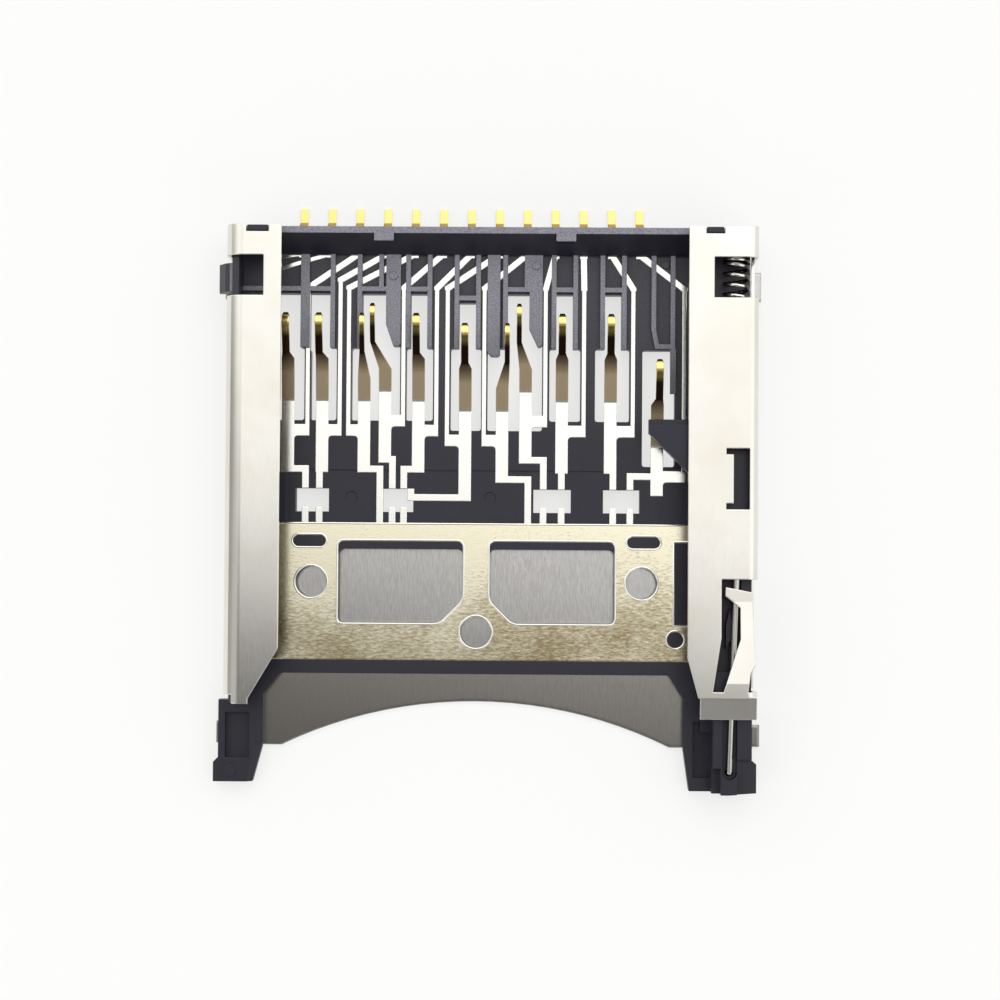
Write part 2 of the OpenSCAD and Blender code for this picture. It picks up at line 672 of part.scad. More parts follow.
// Front end of the right rail, bent down a little
lip_y = -9.85;
lip_drop = 0.1;
module front_lip() {
    z = rail_z0 + sheet_t / 2;
    across(right_rail_x + 0.65, shell_half - 0.05)
        polygon(lane([[lip_y + 0.1, z], [lip_y, z], [right_end, z - lip_drop]], sheet_t));
}

module shell() color("#c9c4b6") {
    difference() {
        translate([0, shell_y1, 0]) rotate([90, 0, 0]) linear_extrude(shell_y1 - plate_end) difference() {
            fold_section(2 * shell_half, rail_z, fold_r, left_fold_r);
            translate([0, sheet_t])
                fold_section(2 * inner_half, rail_z - 2 * sheet_t, fold_r - sheet_t, left_fold_r - sheet_t);
        }
        raise(rail_z0 - left_fold_r, far) top_opening();
        block([0, -far, rail_z0 - fold_r], [far, lip_y, far]);
        // The plate alone goes on in front of the side walls
        for (s = [-1, 1]) mirror([s < 0 ? 1 : 0, 0, 0])
            block([shell_half - fold_r, -far, -far], [far, s < 0 ? left_end + 0.45 : right_end, far]);
        // Behind the plate the walls stop short of the board
        block([-far, plate_rear, -far], [far, far, fold_r]);
        raise(fold_r + 0.4, far) rail_windows();
        raise(rail_z0 - eps, far) rail_holes();
        translate([card_x, plate_end + thumb_depth - thumb_r, -1]) cylinder(r = thumb_r, h = 2, $fn = 180);
    }
    for (s = [-1, 1]) {
        ear(s, window_lo + 0.15);
        mirror([s < 0 ? 1 : 0, 0, 0])
            block([shell_half - fold_r - eps, ear_y - ear_len * 0.75, 0],
                [s < 0 ? left_ear_x : right_ear_x, ear_y, sheet_t]);
    }
    front_lip();
    tongue();
    block([guide_x - sheet_t, guide_y0 + 0.33, floor_z + block_h + run + 0.06],
        [guide_x, guide_y1 - 0.33, rail_z]);
}

// Eject mechanism

slider_x0 = bay_x1 + run;
slider_x1 = inner_half - run;
slider_z = floor_z + run;
block_y0 = right_foot_y0 + 0.1;
seat_y = block_y0 + block_len;
block_z = floor_z + block_h;
nose_y = 4.2;
nose_x = card_x1 - 3.25;
nose_z0 = floor_z + tip_lift + 0.1;
nose_z1 = floor_z + 1.95;
nose_step = 0.3;
nose_front = nose_y - 0.7;
nose_reach = slider_x0 - nose_x;
pin_tip_y = block_y0 + 8.1;
pin_reach = pin_tip_y - pivot[1];
track_z = floor_z + 0.85;
half_swing = pin_swing / 2;
track_half = pin_reach * sin(half_swing) + pin_d / 2 + 0.06;
spring_x = inner_half - 0.12 - spring_d / 2;
spring_z = floor_z + 0.08 + spring_d / 2;
heart_y = -6.5;
heart_half = pin_reach * sin(half_swing) - pin_d / 2 - 0.05;

// Heart-shaped island with the notch that holds the pin when the card is in
module heart() {
    translate([pivot[0], heart_y]) polygon([[0, 1.1], [heart_half, 0.3], [heart_half, -0.8],
        [0.05, -0.45], [-heart_half, -0.9], [-heart_half, 0.3]]);
}

module track() {
    y0 = pin_tip_y - travel - pin_d / 2 - 0.12;
    y1 = pin_tip_y + pin_d / 2 + 0.12;
    difference() {
        translate([pivot[0] - track_half, y0]) square([2 * track_half, y1 - y0]);
        heart();
    }
}

module eject_slider() color("#4a4756") {
    difference() {
        union() {
            block([slider_x0, block_y0, slider_z], [slider_x1, seat_y, block_z]);
            block([slider_x0, seat_y - 1, slider_z], [spring_x - spring_d / 2 - 0.06, nose_y, nose_z1]);
            raise(nose_z0, nose_z1) polygon([[nose_x, nose_front], [slider_x0 + eps, nose_front - nose_reach],
                [slider_x0 + eps, nose_y], [nose_x, nose_y]]);
        }
        raise(track_z, far) track();
        block([nose_x - 1, nose_y - nose_step, nose_z1 - nose_step], [slider_x0, nose_y + 1, far]);
    }
    translate([spring_x, seat_y - eps, spring_z]) rotate([-90, 0, 0])
        cylinder(d = spring_d - 2 * spring_wire - 0.2, h = 1.5);
}

// Coil spring between the slider's seat and the rear wall
spring_y0 = seat_y + 0.02;
spring_y1 = inner_back_y - 0.02;
SPRING_STEPS = 10;
SPRING_SIDES = 6;
module eject_spring() color("#8d8f92") {
    n = spring_turns * SPRING_STEPS;
    r = (spring_d - spring_wire) / 2;
    pitch_len = spring_y1 - spring_y0 - spring_wire;
    points = [for (i = [0:n], k = [0:SPRING_SIDES - 1])
        let (a = 360 * i / SPRING_STEPS, b = 360 * k / SPRING_SIDES, q = r + spring_wire / 2 * cos(b))
        [spring_x + q * cos(a),
            spring_y0 + spring_wire / 2 + pitch_len * i / n + spring_wire / 2 * sin(b),
            spring_z + q * sin(a)]];
    faces = concat([[for (k = [0:SPRING_SIDES - 1]) k]],
        [[for (k = [SPRING_SIDES - 1:-1:0]) n * SPRING_SIDES + k]],
        [for (i = [0:n - 1], k = [0:SPRING_SIDES - 1])
            let (a = i * SPRING_SIDES, j = (k + 1) % SPRING_SIDES)
            [a + k, a + SPRING_SIDES + k, a + SPRING_SIDES + j, a + j]]);
    polyhedron(points, faces);
}

// Bent wire: one end turns in the right foot, the other runs in the slider's track
module latch_pin() color("#e8e6e0") translate([pivot[0], pivot[1], pin_z]) rotate([0, 0, -half_swing]) {
    rotate([-90, 0, 0]) cylinder(d = pin_d, h = pin_reach);
    for (e = [[0, 0.8], [pin_reach, pin_z - track_z - 0.1]]) translate([0, e[0], 0]) {
        sphere(d = pin_d);
        translate([0, 0, -e[1]]) cylinder(d = pin_d, h = e[1]);
    }
}

// Moves the middle of the footprint to the origin: from the toe to the right ears, and from the feet to
// the tails
module placed() translate([(toe_x - right_ear_x) / 2, (foot_y - tail_y) / 2, 0]) children();

placed() housing();
placed() shell();
placed() ground_frame();
placed() contact(1);  // contact_1
placed() contact(2);  // contact_2
placed() contact(3);  // detect_contact_a
placed() contact(4);  // contact_4
placed() contact(5);  // contact_5
placed() contact(6);  // detect_contact_b
placed() contact(7);  // contact_7
placed() contact(8);  // contact_8
placed() contact(9);  // contact_9
placed() protect_spring();
placed() protect_stop();
placed() eject_slider();
placed() eject_spring();
placed() latch_pin();
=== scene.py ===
"""Looks of a push-push memory card socket: finishes for its moulded, folded and stamped pieces, a wound
eject spring, the rims of its ground plate, and a plain studio seen from straight above."""

import bpy
import numpy as np
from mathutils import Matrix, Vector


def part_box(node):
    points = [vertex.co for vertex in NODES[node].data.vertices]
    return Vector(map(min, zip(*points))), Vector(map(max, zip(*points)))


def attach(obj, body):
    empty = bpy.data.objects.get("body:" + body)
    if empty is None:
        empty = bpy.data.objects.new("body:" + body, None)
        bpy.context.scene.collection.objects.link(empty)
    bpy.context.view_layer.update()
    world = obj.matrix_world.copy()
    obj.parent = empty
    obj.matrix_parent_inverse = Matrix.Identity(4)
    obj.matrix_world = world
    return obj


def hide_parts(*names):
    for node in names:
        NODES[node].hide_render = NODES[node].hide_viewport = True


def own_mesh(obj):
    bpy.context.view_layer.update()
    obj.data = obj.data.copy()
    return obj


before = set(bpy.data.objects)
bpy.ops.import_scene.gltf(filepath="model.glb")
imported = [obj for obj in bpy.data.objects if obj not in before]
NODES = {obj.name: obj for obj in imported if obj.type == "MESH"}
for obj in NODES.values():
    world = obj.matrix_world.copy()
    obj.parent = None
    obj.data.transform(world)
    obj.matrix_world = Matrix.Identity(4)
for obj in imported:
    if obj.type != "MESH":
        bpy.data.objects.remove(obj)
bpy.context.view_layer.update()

bl_info = {
    "name": "Card Socket Looks",
    "version": (1, 0, 0),
    "blender": (4, 5, 0),
    "location": "3D View > Sidebar > Card Socket",
    "description": "Finishes, eject spring and studio for a memory card socket",
    "category": "Object",
}

MM = 0.001
NANOMETRE = 1e-9
LEAD_FRAME = [name for name in NODES
              if "contact" in name or name.startswith("protect") or name == "ground_frame"]
WHITE = (1.0, 1.0, 1.0)

# Zones along an axis in millimetres: none of a zone's finish at the first value, all of it at the second
# The comb's painted sheen grows towards the rear wall and over the ribs' raised tops, and fades out above Z 3
# mm
COMB_ZONES = {"rear": ("Y", 3, 9), "rib": ("Z", 1.08, 1.2), "low": ("Z", 3.1, 3.0)}
# The shell's bottom plate, low down, gets painted shade, more of it towards the front
SHELL_ZONES = {"inside": ("Z", 0.6, 0.4), "thumb": ("Y", -6.5, -9.5)}
# On the strip: painted shade towards the plate's front, on the steep beam necks and on the tails' roots
STRIP_ZONES = {"toward_front": ("Y", -1.5, -6.5), "lead": ("Y", -1.4, -1.2), "beam": ("Z", 1.002, 1.02),
               "steep_shade": ("Z", 1.2, 1.35), "tip": ("Z", 1.64, 1.74), "tail": ("Y", 13.5, 13.7),
               "root": ("Z", 0.2, 0.3)}
# Band at the top of the latch pin that gets a painted highlight, in millimetres
PIN_HIGHLIGHT = ("Z", 2.9, 3.0)
# Depths below the spring's top, in millimetres, at which the painted highlight on its turns begins and is
# full
SPRING_HIGHLIGHT = (0.1, 0.03)
# Y in millimetres where the ground plate ends and its leads begin
PLATE_REAR = -1.2

# Size in millimetres of what a pattern draws, along X, Y and Z
FLOW_STREAK = (0.5, 2.2, 0.5)
ROLLED_LINE = (0.06, 0.5, 0.3)
BRUSHED_DASH = (0.28, 0.09, 0.3)
WIRE_LINE = (0.05, 0.8, 0.05)
# The moulded grain is finer than this; it is drawn coarser to show
MOULDED_GRAIN = (0.07, 0.07, 0.07)
# Size in millimetres of patterns that are the same all ways
STEEL_CLOUD = 3.5
PLATE_CLOUD = 3
RIM_SCRATCH = 0.1
PAPER_FIBRE = 0.4

# Radius in millimetres of the rounded edges: of the plastic, of the sheet at its rails and at its bottom
# plate, and of the stamped strip at the ground plate and at the leads
MOULDED_EDGE = 0.06
SHEET_EDGES = (0.07, 0.2)
STRIP_EDGES = (0.1, 0.05)
# Depth in millimetres of the relief that a pattern gives its surface
RELIEF = {"plastic": 0.012, "sheet": 0.006, "strip": 0.01, "wire": 0.004, "paper": 0.01}
# Strength of the ground plate's relief at its rear and at its front
PLATE_RELIEF = (0.08, 0.32)

# Value of a pattern at which what it draws begins, and at which it is full
SPECKLE_SPAN = (0.3, 0.65)
STAIN_SPAN = (0.4, 0.75)
GRAIN_SPAN = (0.35, 0.65)
# The ground plate's darker tone: its mottled wear, and painted shade towards the front
WEAR_AND_SHADE_SPAN = (0.92, 1.28)
# Upward part of the normal of the plastic at which its painted sheen begins, and at which it is full
FLAT_SPAN = (0.9, 0.99)

# Roughness of the finishes, from a mirror at 0
ROUGHNESS = {"housing": 0.42, "slider": 0.36, "outside": 0.1, "inside": 0.13, "plate": 0.16, "lead": 0.12,
             "beam": 0.26, "steep_shade": 0.08, "gold": 0.1, "root": 0.15, "pin": 0.18, "spring": 0.13,
             "paper": 0.9}
RIM_ROUGHNESS = (0.1, 0.3)
# How far patterns change the roughness: flow streaks either way, a wire's lines down and up, and the lines
# and dashes of sheet and strip up
FLOW_SWING = 0.07
WIRE_SWING = (-0.06, 0.1)
LINE_SWING = 0.1

# Share of the painted sheen that is left in the hollows of the moulded grain, and between the comb's ribs
HOLLOW_SHEEN = 0.45
LOW_SHEEN = 0.12
# Share of the warm tint at the thickest of its clouds
MOST_STAIN = 0.45
# Weights of the clouds, and of nearness to the front, in the ground plate's darker tone: the clouds are wear,
# the front's share is painted shade
CLOUD_WEAR = 0.5
FRONT_SHADE = 0.35
# Share of the floor's brightness that is its own, and half of its side in metres
FLOOR_GLOW = 0.7
FLOOR_HALF = 0.6

# Least upward part of the normal of a level face
LEVEL = 0.999
# How deep a rim's underside is sunk into the plate, as a share of its rise
RIM_SINK = 0.5
# Points round a rim's section, steps in a turn of the spring, and sides of its wire
RIM_STEPS = 7
COIL_STEPS = 32
WIRE_SIDES = 12


def linear(hex_colour):
    """Linear RGB of an sRGB hex colour, by the curve of that standard."""
    srgb = np.array([int(hex_colour[i:i + 2], 16) for i in (1, 3, 5)]) / 255
    return tuple(np.where(srgb <= 0.04045, srgb / 12.92, ((srgb + 0.055) / 1.055) ** 2.4))


def colour_property(name, description, hex_colour):
    """A colour that the user can change."""
    return bpy.props.FloatVectorProperty(name=name, description=description, subtype="COLOR", size=3,
                                         min=0.0, max=1.0, default=linear(hex_colour))


def length_property(name, description, metres):
    """A length that the user can change."""
    return bpy.props.FloatProperty(name=name, description=description, unit="LENGTH", default=metres,
                                   min=0.0)


class SocketFinish(bpy.types.PropertyGroup):
    """Colours of the socket's materials"""
    plastic: colour_property("Housing", "Black moulded plastic of the housing", "#13111d")
    plastic_flow: colour_property("Flow marks", "Paler streaks where the plastic flowed in", "#1f1d2c")
    # Painted sheen: paler flat tops of the ribs and rims, most towards the rear wall
    plastic_sheen: colour_property("Rubbed plastic", "Tops of ribs and rims, polished by the tool", "#95949e")
    slider: colour_property("Slider", "Plastic of the eject slider", "#1b1930")
    steel: colour_property("Shell", "Bright rolled outer face of the stainless sheet", "#e8e5dd")
    steel_stain: colour_property("Shell tint", "Warm tint that rolling and handling leave", "#d8d0bf")
    # Painted shade: the greyer bottom plate, deep under the rails
    steel_bottom_shade: colour_property("Shell inside", "Dull inner face of the stainless sheet", "#c8c6c3")
    steel_grain: colour_property("Shell grain", "Dark grain of the sheet's inner face", "#b6b3b0")
    # Painted shade: the bottom plate darker towards its front
    steel_front_shade: colour_property("Thumb plate", "Tint of the inner face where thumbs dull it", "#dddad5")
    plate: colour_property("Ground plate", "Nickel plating on the ground plate", "#fbf4d8")
    # Worn streaks and clouds on the ground plate, with painted shade towards its front
    plate_wear_and_shade: colour_property("Worn plating", "Darker streaks of the brushed plating", "#a3916a")
    lead: colour_property("Leads", "Bright tin on the flat leads", "#f5f3ec")
    beam: colour_property("Beams", "Bronze of the sprung beams", "#cfbb9a")
    # Painted shade: dark colour on the beams' steep necks and the tails' roots
    steep_shade: colour_property("Beam necks", "Tarnished bronze of beam necks and tail roots", "#5b4630")
    gold: colour_property("Gold", "Gold flash on tips and tails", "#f4dc88")
    wire: colour_property("Wire", "Bright drawn steel of the latch pin", "#c9c7c1")
    # Painted shade: the eject spring dark all over
    spring: colour_property("Spring", "Blackened steel of the eject spring", "#45413e")
    # Painted highlight: pale tops of the spring's turns
    spring_highlight: colour_property("Rubbed spring", "Bare steel where the spring's turns rub", "#f2efe8")


class SocketSpring(bpy.types.PropertyGroup):
    """Sizes of the wound eject spring"""
    wire: length_property("Wire", "Thickness of the spring's wire", 0.2 * MM)
    turns: bpy.props.IntProperty(name="Turns", default=20, min=4,
                                 description="Turns of the spring, its dead end turns included")
    dead_turns: bpy.props.FloatProperty(name="Dead turns", description="Turns that lie flat at each end",
                                        default=1.5, min=0.0)


class SocketRims(bpy.types.PropertyGroup):
    """Sizes of the rims that the punch raised round the ground plate's openings"""
    width: length_property("Width", "Width of a rim", 0.11 * MM)
    rise: length_property("Rise", "Height of a rim over the plate", 0.013 * MM)


class SocketStage(bpy.types.PropertyGroup):
    """Camera and light of the studio"""
    eye: bpy.props.FloatVectorProperty(name="Camera", description="Place of the camera",
                                       subtype="TRANSLATION", unit="LENGTH",
                                       default=(2.16 * MM, -2.765 * MM, 112.33 * MM))
    tilt: bpy.props.FloatVectorProperty(name="Camera turn", description="Small turns off straight down",
                                        subtype="EULER", unit="ROTATION", default=(0.0238, 0.0138, 0.0072))
    lens: bpy.props.FloatProperty(name="Lens", description="Focal length in widths of the picture",
                                  default=2.1655, min=0.1)
    softbox: bpy.props.FloatProperty(name="Softbox", default=1.7, min=0.0,
                                     description="Brightness of the softbox behind the socket")
    turn: bpy.props.FloatProperty(name="Room turn", description="Turn of the softbox towards the right",
                                  subtype="ANGLE", default=0.185)
    floor: colour_property("Floor", "Pale floor under the socket", "#fdfdfc")


def add_node(tree, kind, inputs=None, **settings):
    """Add a node to a tree. Inputs are constants, or sockets to link from; settings are its own options."""
    node = tree.nodes.new(kind)
    for name, value in settings.items():
        setattr(node, name, value)
    for key, value in (inputs or {}).items():
        if isinstance(value, bpy.types.NodeSocket):
            tree.links.new(value, node.inputs[key])
        else:
            node.inputs[key].default_value = value
    return node


def rgba(colour):
    """A colour with full alpha."""
    return (*colour, 1.0)


def repeats(x, y, z):
    """How often a pattern of this size in millimetres repeats in a metre."""
    return (1 / (x * MM), 1 / (y * MM), 1 / (z * MM))


def start_material(name):
    """A new node material, and the object's own coordinates in it."""
    material = bpy.data.materials.new(name)
    material.use_nodes = True
    material.node_tree.nodes.clear()
    place = add_node(material.node_tree, "ShaderNodeTexCoord").outputs["Object"]
    return material, material.node_tree, place


def close_material(tree, inputs):
    """The shader of a material and its output."""
    shader = add_node(tree, "ShaderNodeBsdfPrincipled", inputs)
    add_node(tree, "ShaderNodeOutputMaterial", {"Surface": shader.outputs["BSDF"]})


def zone(tree, at, bounds):
    """How far a place is inside a zone along an axis, from 0 to 1."""
    axis, low, high = bounds
    return add_node(tree, "ShaderNodeMapRange", {"Value": at[axis], "From Min": low * MM,
                                                 "From Max": high * MM}).outputs[0]


def moulded_plastic(name, colour, flow, highlight, roughness):
    """Glass-filled plastic, injection moulded: a satin skin, paler streaks along the flow, a painted sheen on
    the comb's flat tops, paler towards the rear wall, edges slightly rounded by the tool, and a fine grain
    that catches the light."""
    material, tree, place = start_material(name)
    at = add_node(tree, "ShaderNodeSeparateXYZ", {"Vector": place}).outputs
    drawn = add_node(tree, "ShaderNodeMapping", {"Vector": place, "Scale": repeats(*FLOW_STREAK)})
    streaks = add_node(tree, "ShaderNodeTexNoise", {"Vector": drawn.outputs[0], "Scale": 1.0, "Detail": 4.0,
                                                    "Roughness": 0.6})
    skin = add_node(tree, "ShaderNodeMix", {"Factor": streaks.outputs["Fac"], "A": rgba(colour),
                                            "B": rgba(flow)}, data_type="RGBA")
    fine = add_node(tree, "ShaderNodeMapping", {"Vector": place, "Scale": repeats(*MOULDED_GRAIN)})
    grain = add_node(tree, "ShaderNodeTexNoise", {"Vector": fine.outputs[0], "Scale": 1.0, "Detail": 2.0})
    normal = add_node(tree, "ShaderNodeNewGeometry").outputs["Normal"]
    upright = add_node(tree, "ShaderNodeSeparateXYZ", {"Vector": normal}).outputs["Z"]
    speckle = add_node(tree, "ShaderNodeMapRange", {"Value": grain.outputs["Fac"],
                                                    "From Min": SPECKLE_SPAN[0],
                                                    "From Max": SPECKLE_SPAN[1],
                                                    "To Min": HOLLOW_SHEEN}).outputs[0]
    raised = add_node(tree, "ShaderNodeMapRange", {"Value": zone(tree, at, COMB_ZONES["rib"]),
                                                   "To Min": LOW_SHEEN}).outputs[0]
    # Painted sheen: only flat tops get it, the comb's most of all
    share = add_node(tree, "ShaderNodeMapRange", {"Value": upright, "From Min": FLAT_SPAN[0],
                                                  "From Max": FLAT_SPAN[1]}).outputs[0]
    for part in (speckle, raised, zone(tree, at, COMB_ZONES["rear"]), zone(tree, at, COMB_ZONES["low"])):
        share = add_node(tree, "ShaderNodeMath", {0: share, 1: part}, operation="MULTIPLY").outputs[0]
    tone = add_node(tree, "ShaderNodeMix", {"Factor": share, "A": skin.outputs["Result"], "B": rgba(highlight)},
                    data_type="RGBA")
    gloss = add_node(tree, "ShaderNodeMapRange", {"Value": streaks.outputs["Fac"],
                                                  "To Min": roughness - FLOW_SWING,
                                                  "To Max": roughness + FLOW_SWING})
    edge = add_node(tree, "ShaderNodeBevel", {"Radius": MOULDED_EDGE * MM}, samples=4)
    bump = add_node(tree, "ShaderNodeBump", {"Height": grain.outputs["Fac"], "Strength": 0.35,
                                             "Distance": RELIEF["plastic"] * MM, "Normal": edge.outputs[0]})
    close_material(tree, {"Base Color": tone.outputs["Result"], "Roughness": gloss.outputs[0], "IOR": 1.55,
                          "Specular IOR Level": 0.45, "Normal": bump.outputs[0]})
    return material


def rolled_stainless(finish):
    """Cold rolled stainless sheet, with fine lines along the roll. Its bright outer face has a warm cloudy
    tint. Its rougher inner face, which the bottom plate shows, has a dark grain and painted shade that
    makes it greyer, with more painted shade towards its front."""
    material, tree, place = start_material("rolled_stainless")
    at = add_node(tree, "ShaderNodeSeparateXYZ", {"Vector": place}).outputs
    cloud = add_node(tree, "ShaderNodeTexNoise", {"Vector": place, "Scale": 1 / (STEEL_CLOUD * MM),
                                                  "Detail": 3.0})
    drawn = add_node(tree, "ShaderNodeMapping", {"Vector": place, "Scale": repeats(*ROLLED_LINE)})
    lines = add_node(tree, "ShaderNodeTexNoise", {"Vector": drawn.outputs[0], "Scale": 1.0, "Detail": 5.0,
                                                  "Roughness": 0.7})
    patch = add_node(tree, "ShaderNodeMapRange", {"Value": cloud.outputs["Fac"], "From Min": STAIN_SPAN[0],
                                                  "From Max": STAIN_SPAN[1], "To Max": MOST_STAIN})
    bright = add_node(tree, "ShaderNodeMix", {"Factor": patch.outputs[0], "A": rgba(finish.steel),
                                              "B": rgba(finish.steel_stain)}, data_type="RGBA")
    grain = add_node(tree, "ShaderNodeMapRange", {"Value": lines.outputs["Fac"], "From Min": GRAIN_SPAN[0],
                                                  "From Max": GRAIN_SPAN[1]})
    # Painted shade: the bottom plate greyer than the rails, with its grain
    shaded_bottom = add_node(tree, "ShaderNodeMix", {"Factor": grain.outputs[0], "A": rgba(finish.steel_bottom_shade),
                                            "B": rgba(finish.steel_grain)}, data_type="RGBA")
    # Painted shade towards the bottom plate's front
    thumb = zone(tree, at, SHELL_ZONES["thumb"])
    toward_front = add_node(tree, "ShaderNodeMix", {"Factor": thumb, "A": rgba(WHITE),
                                            "B": rgba(finish.steel_front_shade)}, data_type="RGBA")
    front_shaded_bottom = add_node(tree, "ShaderNodeMix", {"Factor": 1.0, "A": shaded_bottom.outputs["Result"],
                                               "B": toward_front.outputs["Result"]}, data_type="RGBA",
                       blend_type="MULTIPLY")
    inside = zone(tree, at, SHELL_ZONES["inside"])
    tone = add_node(tree, "ShaderNodeMix", {"Factor": inside, "A": bright.outputs["Result"],
                                            "B": front_shaded_bottom.outputs["Result"]}, data_type="RGBA")
    rough = add_node(tree, "ShaderNodeMapRange", {"Value": inside, "To Min": ROUGHNESS["outside"],
                                                  "To Max": ROUGHNESS["inside"]})
    gloss = add_node(tree, "ShaderNodeMath", {0: lines.outputs["Fac"], 1: LINE_SWING, 2: rough.outputs[0]},
                     operation="MULTIPLY_ADD")
    rolled = add_node(tree, "ShaderNodeMapRange", {"Value": inside, "To Min": SHEET_EDGES[0] * MM,
                                                   "To Max": SHEET_EDGES[1] * MM})
    edge = add_node(tree, "ShaderNodeBevel", {"Radius": rolled.outputs[0]}, samples=6)
    bump = add_node(tree, "ShaderNodeBump", {"Height": lines.outputs["Fac"], "Strength": 0.2,
                                             "Distance": RELIEF["sheet"] * MM, "Normal": edge.outputs[0]})
    close_material(tree, {"Base Color": tone.outputs["Result"], "Metallic": 1.0,
                          "Roughness": gloss.outputs[0], "Normal": bump.outputs[0]})
    return material


def plated_bronze(finish):
    """Phosphor bronze strip, plated and stamped: the ground plate brushed across, with short dashes and worn
    spots, and painted shade towards its front; flat leads in bright tin; bare bronze where the beams spring,
    with painted shade on their steep necks; gold on the tips, which stand highest, and on the tails behind
    the rear wall, with painted shade on the tails' roots. The die rolled every edge over, so it shines."""
    material, tree, place = start_material("plated_bronze")
    at = add_node(tree, "ShaderNodeSeparateXYZ", {"Vector": place}).outputs
    zones = {name: zone(tree, at, bounds) for name, bounds in STRIP_ZONES.items()}
    gilt = add_node(tree, "ShaderNodeMath", {0: zones["tip"], 1: zones["tail"]},
                    operation="MAXIMUM").outputs[0]
    root = add_node(tree, "ShaderNodeMath", {0: zones["root"], 1: zones["tail"]},
                    operation="MULTIPLY").outputs[0]
    across = add_node(tree, "ShaderNodeMapping", {"Vector": place, "Scale": repeats(*BRUSHED_DASH)})
    dashes = add_node(tree, "ShaderNodeTexNoise", {"Vector": across.outputs[0], "Scale": 1.0, "Detail": 5.0,
                                                   "Roughness": 0.7}).outputs["Fac"]
    cloud = add_node(tree, "ShaderNodeTexNoise", {"Vector": place, "Scale": 1 / (PLATE_CLOUD * MM),
                                                  "Detail": 2.0})
    depth = add_node(tree, "ShaderNodeMath", {0: cloud.outputs["Fac"], 1: CLOUD_WEAR, 2: dashes},
                     operation="MULTIPLY_ADD")
    spread = add_node(tree, "ShaderNodeMath", {0: zones["toward_front"], 1: FRONT_SHADE, 2: depth.outputs[0]},
                      operation="MULTIPLY_ADD")
    # Painted shade towards the front joins the mottled wear here
    wear_and_shade = add_node(tree, "ShaderNodeMapRange", {"Value": spread.outputs[0], "From Min": WEAR_AND_SHADE_SPAN[0],
                                                 "From Max": WEAR_AND_SHADE_SPAN[1]})
    tone = add_node(tree, "ShaderNodeMix", {"Factor": wear_and_shade.outputs[0], "A": rgba(finish.plate),
                                            "B": rgba(finish.plate_wear_and_shade)}, data_type="RGBA").outputs["Result"]
    rough = ROUGHNESS["plate"]
    # Each finish covers the ones before it
    # Painted shade on the steep necks and the tails' roots
    for share, colour, part in ((zones["lead"], finish.lead, "lead"), (zones["beam"], finish.beam, "beam"),
                                (zones["steep_shade"], finish.steep_shade, "steep_shade"), (gilt, finish.gold, "gold"),
                                (root, finish.steep_shade, "root")):
        tone = add_node(tree, "ShaderNodeMix", {"Factor": share, "A": tone, "B": rgba(colour)},
                        data_type="RGBA").outputs["Result"]
        rough = add_node(tree, "ShaderNodeMix", {"Factor": share, "A": rough,
                                                 "B": ROUGHNESS[part]}).outputs["Result"]
    gloss = add_node(tree, "ShaderNodeMath", {0: dashes, 1: LINE_SWING, 2: rough}, operation="MULTIPLY_ADD")
    relief = add_node(tree, "ShaderNodeMapRange", {"Value": zones["toward_front"], "To Min": PLATE_RELIEF[0],
                                                   "To Max": PLATE_RELIEF[1]})
    rolled = add_node(tree, "ShaderNodeMapRange", {"Value": zones["lead"], "To Min": STRIP_EDGES[0] * MM,
                                                   "To Max": STRIP_EDGES[1] * MM})
    edge = add_node(tree, "ShaderNodeBevel", {"Radius": rolled.outputs[0]}, samples=6)
    bump = add_node(tree, "ShaderNodeBump", {"Height": dashes, "Strength": relief.outputs[0],
                                             "Distance": RELIEF["strip"] * MM, "Normal": edge.outputs[0]})
    close_material(tree, {"Base Color": tone, "Metallic": 1.0, "Roughness": gloss.outputs[0],
                          "Normal": bump.outputs[0]})
    return material


def drawn_wire(name, colour, highlight, bounds, roughness):
    """Hard drawn steel wire: a skin with faint lines along Y, and a painted highlight of another colour in a
    zone.
    """
    material, tree, place = start_material(name)
    at = add_node(tree, "ShaderNodeSeparateXYZ", {"Vector": place}).outputs
    tone = add_node(tree, "ShaderNodeMix", {"Factor": zone(tree, at, bounds), "A": rgba(colour),
                                            "B": rgba(highlight)}, data_type="RGBA")
    drawn = add_node(tree, "ShaderNodeMapping", {"Vector": place, "Scale": repeats(*WIRE_LINE)})
    lines = add_node(tree, "ShaderNodeTexNoise", {"Vector": drawn.outputs[0], "Scale": 1.0, "Detail": 2.0})
    gloss = add_node(tree, "ShaderNodeMapRange", {"Value": lines.outputs["Fac"],
                                                  "To Min": roughness + WIRE_SWING[0],
                                                  "To Max": roughness + WIRE_SWING[1]})
    bump = add_node(tree, "ShaderNodeBump", {"Height": lines.outputs["Fac"], "Strength": 0.2,
                                             "Distance": RELIEF["wire"] * MM})
    close_material(tree, {"Base Color": tone.outputs["Result"], "Metallic": 1.0,
                          "Roughness": gloss.outputs[0], "Normal": bump.outputs[0]})
    return material


def coined_rim(colour):
    """Plating burnished by the punch: bright, with faint scratches that soften the shine."""
    material, tree, place = start_material("coined_rim")
    scratches = add_node(tree, "ShaderNodeTexNoise", {"Vector": place, "Scale": 1 / (RIM_SCRATCH * MM),
                                                      "Detail": 2.0})
    gloss = add_node(tree, "ShaderNodeMapRange", {"Value": scratches.outputs["Fac"],
                                                  "To Min": RIM_ROUGHNESS[0], "To Max": RIM_ROUGHNESS[1]})
    close_material(tree, {"Base Color": rgba(colour), "Metallic": 1.0, "Roughness": gloss.outputs[0]})
    return material


